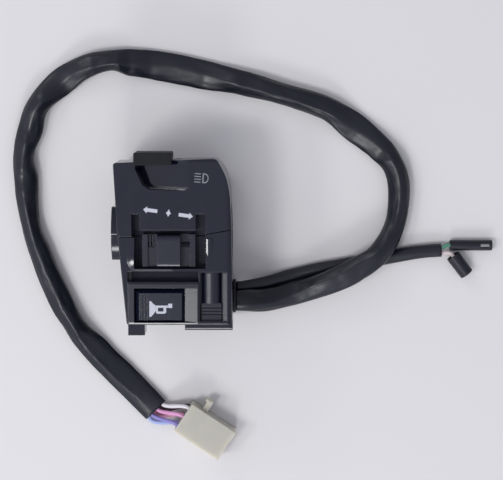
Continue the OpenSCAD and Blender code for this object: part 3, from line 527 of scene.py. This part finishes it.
def skin_noise(place, angle, pitch, reach, shift=(0, 0, 0)):
    """Noise over a sleeve's skin: its pitch along the sleeve in millimetres, and its reach round it."""
    x, y, z = shift
    return noise.noise((place / pitch + x, reach * math.cos(angle) + y, reach * math.sin(angle) + z))


# Main sleeve's section: least and most height in millimetres, girth that a millimetre of height takes, and
# how square it is, from 2 for an ellipse
SLEEVE_LOW = 3.6
SLEEVE_HIGH = 7.6
GIRTH_PER_HEIGHT = 1.14
SQUARENESS = 2.4
# Lengths in millimetres over which the folds fade in and out at the ends, and how far past the last width
# they are gone
FADE_IN = 10
FADE_OUT = 12
FADE_PAST = 2
# Crease along the top: how far it wanders as a share of the half width, in what length, how high it stands
# as a share of the section, and how far the top follows it
CREASE_WANDER = 0.55
CREASE_PITCH = 38
CREASE_RISE = 1.12
CREASE_SHARE = 0.46
# Soft and fine dents: pitch in millimetres, reach round the sleeve and depth as a share of the section,
# and the share of them that the sides take
DENT_PITCH, DENT_REACH, DENT_DEPTH = 11, 1.5, 0.11
FINE_PITCH, FINE_REACH, FINE_DEPTH = 4, 3, 0.05
SIDE_SHARE = 0.35


def flattened(angle, left, right, tall):
    """A point on a flattened round outline with its own half width on each side."""
    c, s = math.cos(angle), math.sin(angle)
    across = math.copysign(abs(c) ** (2 / SQUARENESS), c) * (left if c > 0 else right)
    return across, math.copysign(abs(s) ** (2 / SQUARENESS), s) * tall / 2


def main_section(place, angle):
    """Outline of the main sleeve: flat where it is wide, with a wandering crease on top and soft dents."""
    left, right = between(SLEEVE_WIDTHS, place)
    girth = math.pi * settings("leads").sleeve_girth / MM
    tall = min(max((girth - 2 * (left + right)) / GIRTH_PER_HEIGHT, SLEEVE_LOW), SLEEVE_HIGH)
    across, height = flattened(angle, left, right, tall)
    ease = min(place / FADE_IN, (SLEEVE_WIDTHS[-1][0] + FADE_PAST - place) / FADE_OUT, 1.0)
    if math.sin(angle) > 0:
        # Two nearly flat sides meet in the crease
        here = across / (left if across > 0 else right)
        crease = CREASE_WANDER * noise.noise((place / CREASE_PITCH, 0.3, 1.7))
        roof = 1 - abs(here - crease) / (1 + math.copysign(crease, crease - here))
        height += CREASE_SHARE * ease * (roof * CREASE_RISE * tall / 2 - height)
    dent = skin_noise(place, angle, DENT_PITCH, DENT_REACH)
    fine = skin_noise(place, angle, FINE_PITCH, FINE_REACH, (0, 0, 9))
    swell = 1 + ease * (dent * DENT_DEPTH + fine * FINE_DEPTH)
    # The lower skin stays on the route's lower side
    return across * (1 + (swell - 1) * SIDE_SHARE), height * swell - (SLEEVE_HIGH - tall) / 2


# Branch sleeve's section: how flat it is as a share of its radius, the length in which it gets so and its
# drop below its route in millimetres, and its dents: pitch, reach round it, depths across and in height
BRANCH_FLAT = 0.09
BRANCH_FADE = 12
BRANCH_DROP = 0.1
BRANCH_PITCH, BRANCH_REACH = 9, 1.6
BRANCH_ACROSS, BRANCH_HEIGHT = 0.05, 0.09


def branch_section(place, angle):
    """Outline of the branch sleeve: round at the grommet, then a little flattened, with shallow dents."""
    radius = settings("leads").branch_girth / MM / 2
    dent = skin_noise(place, angle, BRANCH_PITCH, BRANCH_REACH, (40, 0, 0))
    flat = min(place / BRANCH_FADE, 1.0) * BRANCH_FLAT
    return (radius * (1 + flat + BRANCH_ACROSS * dent) * math.cos(angle),
            radius * (1 - flat + BRANCH_HEIGHT * dent) * math.sin(angle) - BRANCH_DROP)


class SWITCH_OT_stage(bpy.types.Operator):
    """Makes the camera, the sheet under the switch and the soft light"""
    bl_idname = "switch.stage"
    bl_label = "Stage"

    # Middle of the view and half size of the sheet, in millimetres, and distance of the lamps, in metres
    AIM = (28.9, -5.5, BENCH)
    SHEET_REACH = 6000
    LAMP_DISTANCE = 1.2

    def execute(self, context):
        stage = settings("stage")
        target = Vector(self.AIM) * MM
        away = Vector((0, math.sin(stage.camera_tilt), math.cos(stage.camera_tilt)))
        camera = link(bpy.data.objects.new("camera", bpy.data.cameras.new("camera")))
        camera.data.lens = stage.lens
        camera.data.sensor_width = 36
        camera.data.clip_start = 0.01
        camera.location = target + away * stage.camera_distance
        camera.rotation_euler = (-stage.camera_tilt, 0, 0)
        context.scene.camera = camera

        reach, level = self.SHEET_REACH, BENCH - BENCH_GAP
        corners = [(x * reach, y * reach, level) for x, y in ((-1, -1), (1, -1), (1, 1), (-1, 1))]
        paper = paper_sheet(stage.floor_colour)
        floor = mesh_object("sheet", corners, [(0, 1, 2, 3)], paper, smooth=False)

        # Size in metres, direction in degrees
        for name, power, size, azimuth, elevation in (
            ("window light", stage.key_power, 0.24, 215, 63),
            ("side light", stage.side_power, 0.18, 197, 48),
            ("front light", stage.front_power, 0.26, 266, 35.5),
            ("rear light", stage.rear_power, 0.25, 122, 31),
        ):
            lamp = link(bpy.data.objects.new(name, bpy.data.lights.new(name, "AREA")))
            lamp.data.energy = power
            lamp.data.size = size
            a, e = math.radians(azimuth), math.radians(elevation)
            toward = Vector((math.cos(a) * math.cos(e), math.sin(a) * math.cos(e), math.sin(e)))
            lamp.location = toward * self.LAMP_DISTANCE
            lamp.rotation_mode = "QUATERNION"
            lamp.rotation_quaternion = (-toward).to_track_quat("-Z", "Y")

        world = bpy.data.worlds.new("room")
        context.scene.world = world
        world.use_nodes = True
        tree = world.node_tree
        background = tree.nodes["Background"]
        # Brighter towards the window, dimmer across the room from it
        outward = tree.nodes.new("ShaderNodeTexCoord").outputs["Generated"]
        window = add(tree, "ShaderNodeVectorMath", {0: outward, 1: (-0.6, -0.7, 0.35)},
                     operation="DOT_PRODUCT")
        glow = add(tree, "ShaderNodeMapRange", {
            "Value": window.outputs["Value"], "From Min": -0.8, "From Max": 0.9,
            "To Min": 0.5 * stage.sky, "To Max": 1.35 * stage.sky,
        })
        background.inputs["Color"].default_value = linear("#f0f2ff")
        tree.links.new(glow.outputs["Result"], background.inputs["Strength"])
        context.scene.view_settings.view_transform = "Standard"
        return {"FINISHED"}


class SWITCH_OT_main_sleeve(bpy.types.Operator):
    """Makes the crumpled vinyl sleeve of the main harness"""
    bl_idname = "switch.main_sleeve"
    bl_label = "Main sleeve"

    def execute(self, context):
        vinyl = glossy_vinyl_tube(settings("leads").sleeve_black)
        sleeve = swept_sleeve("main_sleeve", smooth_route(SLEEVE_ROUTE), main_section, vinyl)
        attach(sleeve, "casing")
        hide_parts("harness_sleeve")
        return {"FINISHED"}


class SWITCH_OT_branch_sleeve(bpy.types.Operator):
    """Makes the thin vinyl sleeve of the branch"""
    bl_idname = "switch.branch_sleeve"
    bl_label = "Branch sleeve"

    def execute(self, context):
        vinyl = glossy_vinyl_tube(settings("leads").sleeve_black, "glossy vinyl branch tube")
        sleeve = swept_sleeve("branch_tube", smooth_route(BRANCH_ROUTE), branch_section, vinyl)
        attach(sleeve, "casing")
        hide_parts("branch_sleeve")
        return {"FINISHED"}


# Connector, as in the solids, in millimetres: the foot of its rear face, its turn, and the middle height,
# rows and columns of its cavities
PLUG_AT = Vector((2.1, -74.5, BENCH))
PLUG_TURN = math.radians(-34)
PLUG_MID = 4.7
PLUG_ROWS = (-2.1, 2.1)
PLUG_COLUMNS = (-4, 0, 4)
# Wires at the connector: how far they go in, and their straight part behind it
WIRE_END = 3
WIRE_STRAIGHT = 0.4
# Wires in the flat mouth of the sleeve: pitch across it, shift to its wider side, pitch of the rows, drop
# below its route, and length inside it
WIRE_PITCH = 3.0
WIRE_SHIFT = 1.3
ROW_PITCH = 1.6
MOUTH_DROP = 1.9
WIRE_INSIDE = 4
# Lower row: its shift, and how many times as far it bends aside on the way
LOWER_SHIFT = -1.5
LOWER_BEND = 1.6
# Reach of a wire's bend at each end, and steps of its curve
WIRE_BEND = 3
WIRE_STEPS = 14


def plug_point(along, across, height):
    """A point along the connector from its rear face, across it and above the bench."""
    c, s = math.cos(PLUG_TURN), math.sin(PLUG_TURN)
    return PLUG_AT + Vector((along * c - across * s, along * s + across * c, height))


def wire_curve(name, points, radius, material):
    """A round wire through points in millimetres."""
    curve = bpy.data.curves.new(name, "CURVE")
    curve.dimensions = "3D"
    curve.bevel_depth = radius
    curve.bevel_resolution = 4
    curve.use_fill_caps = True
    spline = curve.splines.new("POLY")
    spline.points.add(len(points) - 1)
    for place, point in zip(spline.points, points):
        place.co = (*(point * MM), 1)
    spline.use_smooth = True
    curve.materials.append(material)
    wire = link(bpy.data.objects.new(name, curve))
    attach(wire, "casing")
    return wire


def bezier(a, b, c, d, steps):
    """Points on a curve from a to d that leaves towards b and comes in from c."""
    out = []
    for k in range(steps + 1):
        t = k / steps
        w = 1 - t
        out.append(a * w ** 3 + b * (3 * w * w * t) + c * (3 * w * t * t) + d * t ** 3)
    return out


class SWITCH_OT_connector_wires(bpy.types.Operator):
    bl_idname = "switch.connector_wires"
    bl_label = "Connector wires"

    # Lower row, then upper row
    SHADES = (
        (("light blue", "#a3b4e4"), ("rose", "#e3a0b4"), ("maroon", "#3a1522")),
        (("violet", "#9088cc"), ("pink", "#e6a3d0"), ("white", "#e9e6ea")),
    )

    def execute(self, context):
        leads = settings("leads")
        tip = Vector(SLEEVE_ROUTE[-1])
        ahead = (tip - Vector(SLEEVE_ROUTE[-2])).normalized()
        side = UP.cross(ahead)
        toward = plug_point(1, 0, 0) - plug_point(0, 0, 0)
        for row, shades in enumerate(self.SHADES):
            for column, (shade, hex_colour) in enumerate(shades):
                offset = (column - 1) * WIRE_PITCH + WIRE_SHIFT + (1 - row) * LOWER_SHIFT
                start = tip + side * offset
                start.z += (row - 0.5) * ROW_PITCH - MOUTH_DROP
                end = plug_point(WIRE_END, PLUG_COLUMNS[column], PLUG_MID + PLUG_ROWS[row])
                near = end - toward * (WIRE_END + WIRE_STRAIGHT)
                # The lower row runs in the gaps of the upper one
                aside = side * (1 - row) * LOWER_BEND * LOWER_SHIFT
                # Inside the sleeve the wires close up
                points = [start - ahead * WIRE_INSIDE - side * offset / 2]
                points += bezier(start, start + ahead * WIRE_BEND + aside,
                                 near - toward * WIRE_BEND + aside, near, WIRE_STEPS)
                points.append(end)
                name = "wire_" + shade.replace(" ", "_")
                insulation = extruded_insulation("insulation " + shade, linear(hex_colour))
                wire_curve(name, points, leads.wire / 2, insulation)
        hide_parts("connector_wires")
        route = smooth_route(SLEEVE_ROUTE)
        return {"FINISHED"}


# Rear ends of the branch's terminal sleeves, in millimetres, and turn of the second, as in the solids
BULLET_AT = Vector((106.4, -7.3, BENCH + 2.2))
RECEPTACLE_AT = Vector((107.5, -11.3, BENCH + 2.85))
RECEPTACLE_TURN = math.radians(-52)


class SWITCH_OT_branch_wires(bpy.types.Operator):
    bl_idname = "switch.branch_wires"
    bl_label = "Branch wires"

    # Wires in the branch's mouth, in millimetres: half their pitch, lift over its route, length inside it
    HALF_PITCH = 1.1
    LIFT = 0.3
    INSIDE = 3
    # Wires behind their terminal sleeves, in millimetres: straight part, and reach of the bend before it
    STRAIGHT = 0.4
    BEND = 1.6

    def execute(self, context):
        leads = settings("leads")
        tip = Vector(BRANCH_ROUTE[-1])
        ahead = (tip - Vector(BRANCH_ROUTE[-2])).normalized()
        side = UP.cross(ahead)
        lift = UP * self.LIFT
        along = Vector((1, 0, 0))
        down = Vector((math.cos(RECEPTACLE_TURN), math.sin(RECEPTACLE_TURN), 0))
        # Side of the mouth, first bend, terminal sleeve, its direction, depth in it and steps of the curve
        for shade, hex_colour, hand, bend, place, way, depth, steps in (
            ("green", "#5f9a80", 1, 1.4, BULLET_AT, along, 3, 8),
            ("pale", "#dccfce", -1, 2, RECEPTACLE_AT, down, 2, 10),
        ):
            start = tip + side * hand * self.HALF_PITCH + lift
            points = [start - ahead * self.INSIDE]
            points += bezier(start, start + ahead * bend, place - way * self.BEND,
                             place - way * self.STRAIGHT, steps)
            points.append(place + way * depth)
            insulation = extruded_insulation("insulation " + shade, linear(hex_colour))
            wire_curve("wire_" + shade, points, leads.wire / 2, insulation)
        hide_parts("branch_wires")
        route = smooth_route(BRANCH_ROUTE)
        return {"FINISHED"}


# Rounding of the terminal sleeves' and the grommet's edges, in millimetres
BOOT_EDGE = 0.2
GROMMET_EDGE = 0.25


class SWITCH_OT_connector(bpy.types.Operator):
    """Finishes the connector and the terminals of both cords"""
    bl_idname = "switch.connector"
    bl_label = "Connector and terminals"

    def execute(self, context):
        leads = settings("leads")
        dress(NODES["connector_housing"], natural_nylon(leads.nylon))
        dress(NODES["connector_terminals"], stamped_brass())
        tinned = tinned_brass()
        for name in ("bullet_terminal", "receptacle_terminal"):
            dress(NODES[name], tinned)
        boots = glossy_vinyl_tube(leads.sleeve_black, "vinyl terminal sleeve")
        for name in ("bullet_boot", "receptacle_boot"):
            dress(NODES[name], boots)
            soften(NODES[name], BOOT_EDGE * MM)
        return {"FINISHED"}


class SWITCH_OT_casing(bpy.types.Operator):
    """Finishes both casing halves, their screws and the cable grommet"""
    bl_idname = "switch.casing"
    bl_label = "Casing"

    def execute(self, context):
        gloss = gloss_moulded_abs(settings("casing").gloss_black)
        for name in ("upper_casing", "lower_casing"):
            dress(NODES[name], gloss)
        dress(NODES["casing_screws"], zinc_plated_steel())
        dress(NODES["cable_grommet"], moulded_rubber())
        soften(NODES["cable_grommet"], GROMMET_EDGE * MM)
        return {"FINISHED"}


class SWITCH_OT_controls(bpy.types.Operator):
    """Finishes the thumb-piece, the turn-signal knob and the horn button"""
    bl_idname = "switch.controls"
    bl_label = "Controls"

    def execute(self, context):
        casing = settings("casing")
        dress(NODES["dimmer_lever"], matte_moulded_nylon(casing.thumb_black))
        satin = satin_moulded_abs(casing.button_black)
        for name in ("turn_knob", "horn_button"):
            dress(NODES[name], satin)
        return {"FINISHED"}


class SWITCH_OT_inner_works(bpy.types.Operator):
    """Finishes the contacts, bases, springs, screws and leads inside the casing"""
    bl_idname = "switch.inner_works"
    bl_label = "Inner works"

    def execute(self, context):
        board = pressed_phenolic_board()
        brass = bpy.data.materials["stamped brass"]
        steel = bpy.data.materials["zinc-plated steel"]
        for switch in ("dimmer", "turn", "horn"):
            dress(NODES[switch + "_base"], board)
            dress(NODES[switch + "_terminals"], brass)
            dress(NODES[switch + "_bridge"], brass)
            dress(NODES[switch + "_base_screws"], steel)
        for switch in ("dimmer", "turn"):
            for piece in ("_detent_ball", "_detent_spring"):
                dress(NODES[switch + piece], steel)
        # The horn's coil is a copy of the spring with its own mesh, which stands in for the spring on the
        # casing
        coil = link(bpy.data.objects.new("horn_coil", NODES["horn_spring"].data.copy()))
        dress(coil, steel)
        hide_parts("horn_spring")
        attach(coil, "casing")
        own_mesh(coil)
        dress(NODES["turn_carrier"], bpy.data.materials["natural nylon"])
        for switch, hex_colour in (("dimmer", "#4a6fb0"), ("turn", "#b0703a"), ("horn", "#7a4fa0")):
            name = switch + "_leads"
            dress(NODES[name], extruded_insulation("insulation " + name, linear(hex_colour)))
        return {"FINISHED"}


# Share of the ink's height that is left open under it, so that it stays clear of the face
INK_GAP = 0.1


def printed(name, outlines, level, material, body):
    """Ink shapes from outlines in millimetres, just over a face at this level."""
    ink = settings("print").thickness / MM
    vertices, faces = [], []
    for outline in outlines:
        # Twice the area, which is above nought where the outline runs anticlockwise
        area = sum(a[0] * b[1] - b[0] * a[1] for a, b in zip(outline, outline[1:] + outline[:1]))
        rim = outline if area > 0 else outline[::-1]
        lower = [len(vertices) + k for k in range(len(rim))]
        upper = [k + len(rim) for k in lower]
        for height in (ink * INK_GAP, ink):
            vertices += [(x, y, level + height) for x, y in rim]
        faces += [lower[::-1], upper]
        faces += [(lower[k - 1], lower[k], upper[k], upper[k - 1]) for k in range(len(rim))]
    piece = mesh_object(name, vertices, faces, material, smooth=False)
    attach(piece, body)


def turned(outline, centre, degrees):
    """An outline around the origin, turned and moved to its place."""
    c, s = math.cos(math.radians(degrees)), math.sin(math.radians(degrees))
    return [(centre[0] + x * c - y * s, centre[1] + x * s + y * c) for x, y in outline]


def bar(x0, y0, x1, y1):
    """A rectangle between two corners, as an outline."""
    return [(x0, y0), (x1, y0), (x1, y1), (x0, y1)]


def arc_band(inner, outer, start, end, steps=14):
    """A curved band around the origin between two angles in degrees, as an outline."""
    return [(r * math.cos(math.radians(a)), r * math.sin(math.radians(a)))
            for r, sweep in ((outer, range(steps + 1)), (inner, range(steps, -1, -1)))
            for a in [start + (end - start) * k / steps for k in sweep]]


class SWITCH_OT_printed_symbols(bpy.types.Operator):
    """Prints the main beam, turn and horn symbols"""
    bl_idname = "switch.printed_symbols"
    bl_label = "Printed symbols"

    # Heights of the printed faces, in millimetres, and lean of the turn symbols, in degrees
    FACE = 23.0
    BUTTON = 23.4
    SLOPE = -8
    # Main beam symbol: its place and its lean
    BEAM_AT = (11.2, 21.5)
    BEAM_SLOPE = -4

    def execute(self, context):
        ink = settings("print")
        white = pad_print("white pad print", ink.white)
        grey = pad_print("grey pad print", ink.grey)
        arrow = [(-2.7, 0), (-1.3, 1.3), (-1.3, 0.65), (2.5, 0.65), (2.5, -0.65), (-1.3, -0.65),
                 (-1.3, -1.3)]
        back = [(-x, y) for x, y in reversed(arrow)]
        mark = [(0, 1.4), (-0.45, 0.5), (-0.95, 0), (-0.45, -0.5), (0, -1.4), (0.45, -0.5), (0.95, 0),
                (0.45, 0.5)]
        printed("turn_symbols", [
            turned(arrow, (-7.8, 9.8), self.SLOPE), turned(mark, (-1.3, 8.8), self.SLOPE),
            turned(back, (4.9, 7.9), self.SLOPE),
        ], self.FACE, white, "casing")

        # Four rays, the lamp's flat back, and the shell of its bowl as one outline
        ray = 0.17
        inner, outer, root = 1.35, 1.8, 0.4
        beam = [bar(-3.0, y - ray, -0.7, y + ray) for y in (-1.5, -0.5, 0.5, 1.5)]
        beam.append(bar(-0.1, -outer, 0.35, outer))
        bow = [(0.7 + 0.8 * x, y) for x, y in arc_band(inner, outer, -90, 90)]
        half = len(bow) // 2
        beam.append([(root, -outer)] + bow[:half] + [(root, outer), (root, inner)] + bow[half:]
                    + [(root, -inner)])
        beam = [turned(outline, self.BEAM_AT, self.BEAM_SLOPE) for outline in beam]
        printed("main_beam_symbol", beam, self.FACE, grey, "casing")

        # Bell, tube, mouthpiece and the loop under the tube
        horn = [
            [(-8.45, -23.5), (-7.8, -23.5), (-7, -24.5), (-6.1, -25.1), (-6.1, -27.1), (-7, -28.3),
             (-7.8, -29.2), (-8.45, -29.4)],
            bar(-6.05, -25.9, -1.6, -25.1),
            [(-1.55, -25.9), (-1, -26), (-0.1, -26), (-0.1, -24.4), (-1.55, -24.4)],
            [(-6.05, -25.95), (-6.05, -27.6), (-5.7, -28.1), (-2.8, -28.1), (-2.3, -27.6), (-2.3, -25.95),
             (-3.3, -25.95), (-3.3, -27.3), (-5.3, -27.3), (-5.3, -25.95)],
        ]
        printed("horn_symbol", horn, self.BUTTON, white, "horn")
        return {"FINISHED"}


OPERATORS = (
    SWITCH_OT_stage, SWITCH_OT_main_sleeve, SWITCH_OT_branch_sleeve, SWITCH_OT_connector_wires,
    SWITCH_OT_branch_wires, SWITCH_OT_connector, SWITCH_OT_casing, SWITCH_OT_controls, SWITCH_OT_inner_works,
    SWITCH_OT_printed_symbols,
)


class SWITCH_PT_panel(bpy.types.Panel):
    """Lists the steps of the build"""
    bl_idname = "SWITCH_PT_panel"
    bl_label = "Handlebar Switch Cluster"
    bl_space_type = "VIEW_3D"
    bl_region_type = "UI"
    bl_category = "Switch"

    def draw(self, context):
        for operator in OPERATORS:
            self.layout.operator(operator.bl_idname)
        for name in SETTINGS:
            group = settings(name)
            box = self.layout.box()
            for key in group.__annotations__:
                box.prop(group, key)


SETTINGS = {"stage": StageSettings, "casing": CasingSettings, "print": PrintSettings, "leads": LeadSettings}
CLASSES = (*SETTINGS.values(), *OPERATORS, SWITCH_PT_panel)


def register():
    for cls in CLASSES:
        bpy.utils.register_class(cls)
    for name, group in SETTINGS.items():
        setattr(bpy.types.Scene, "switch_" + name, bpy.props.PointerProperty(type=group))


def unregister():
    for name in SETTINGS:
        delattr(bpy.types.Scene, "switch_" + name)
    for cls in reversed(CLASSES):
        bpy.utils.unregister_class(cls)


def main():
    register()
    for operator in OPERATORS:
        family, step = operator.bl_idname.split(".")
        getattr(getattr(bpy.ops, family), step)()


if __name__ == "__main__":
    main()
